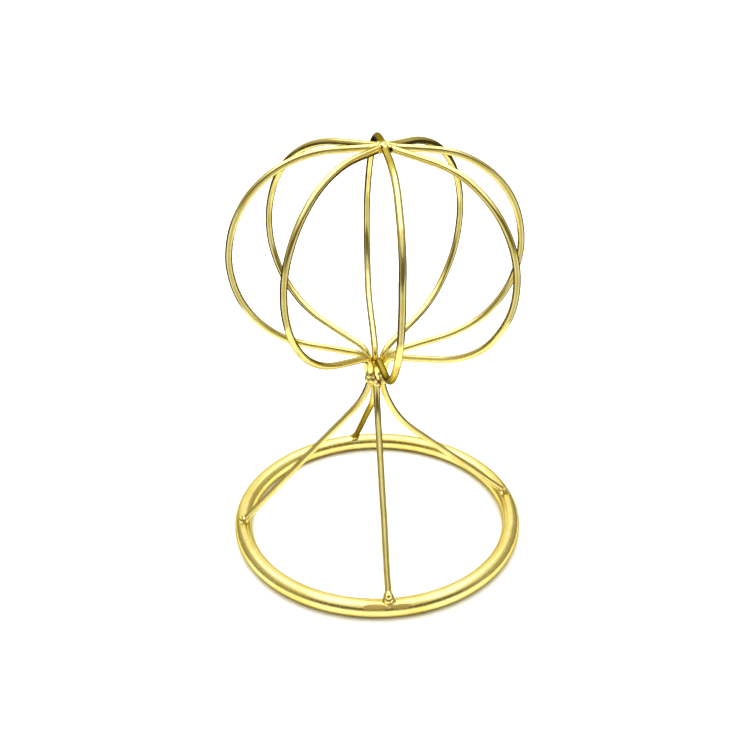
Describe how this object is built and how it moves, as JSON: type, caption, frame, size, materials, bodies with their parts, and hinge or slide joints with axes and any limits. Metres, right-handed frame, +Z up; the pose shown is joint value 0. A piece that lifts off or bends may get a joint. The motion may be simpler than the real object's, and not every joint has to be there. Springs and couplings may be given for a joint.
{
  "type": "wire cage display stand",
  "caption": "Freestanding wire frame: bowed ribs form an open pumpkin-shaped cage on splayed legs over a round ring base, welded and gold finished.",
  "frame": {"origin": "middle of the base ring, on the surface that it stands on", "axes": "+Z up, -Y towards the front leg and the front rib, +X to the right; the ribs are listed from the front towards +X"},
  "size_m": [0.17, 0.17, 0.2368],
  "materials": {
    "gold_rod": "satin pale gold coating over the round rod of the ring",
    "gold_wire": "satin pale gold coating over drawn wire, glossier than the ring",
    "gold_weld": "the same pale gold coating over lumpy, slightly pitted weld beads"
  },
  "bodies": {
    "root": {"base_ring": "gold_rod", "leg_front": "gold_wire", "leg_right": "gold_wire", "leg_back": "gold_wire", "leg_left": "gold_wire", "foot_weld_front": "gold_weld", "foot_weld_right": "gold_weld", "foot_weld_back": "gold_weld", "foot_weld_left": "gold_weld", "neck_weld": "gold_weld", "rib_front": "gold_wire", "rib_front_right": "gold_wire", "rib_right": "gold_wire", "rib_back_right": "gold_wire", "rib_back": "gold_wire", "rib_back_left": "gold_wire", "rib_left": "gold_wire", "rib_front_left": "gold_wire", "crown_weld": "gold_weld"}
  },
  "joints": []
}
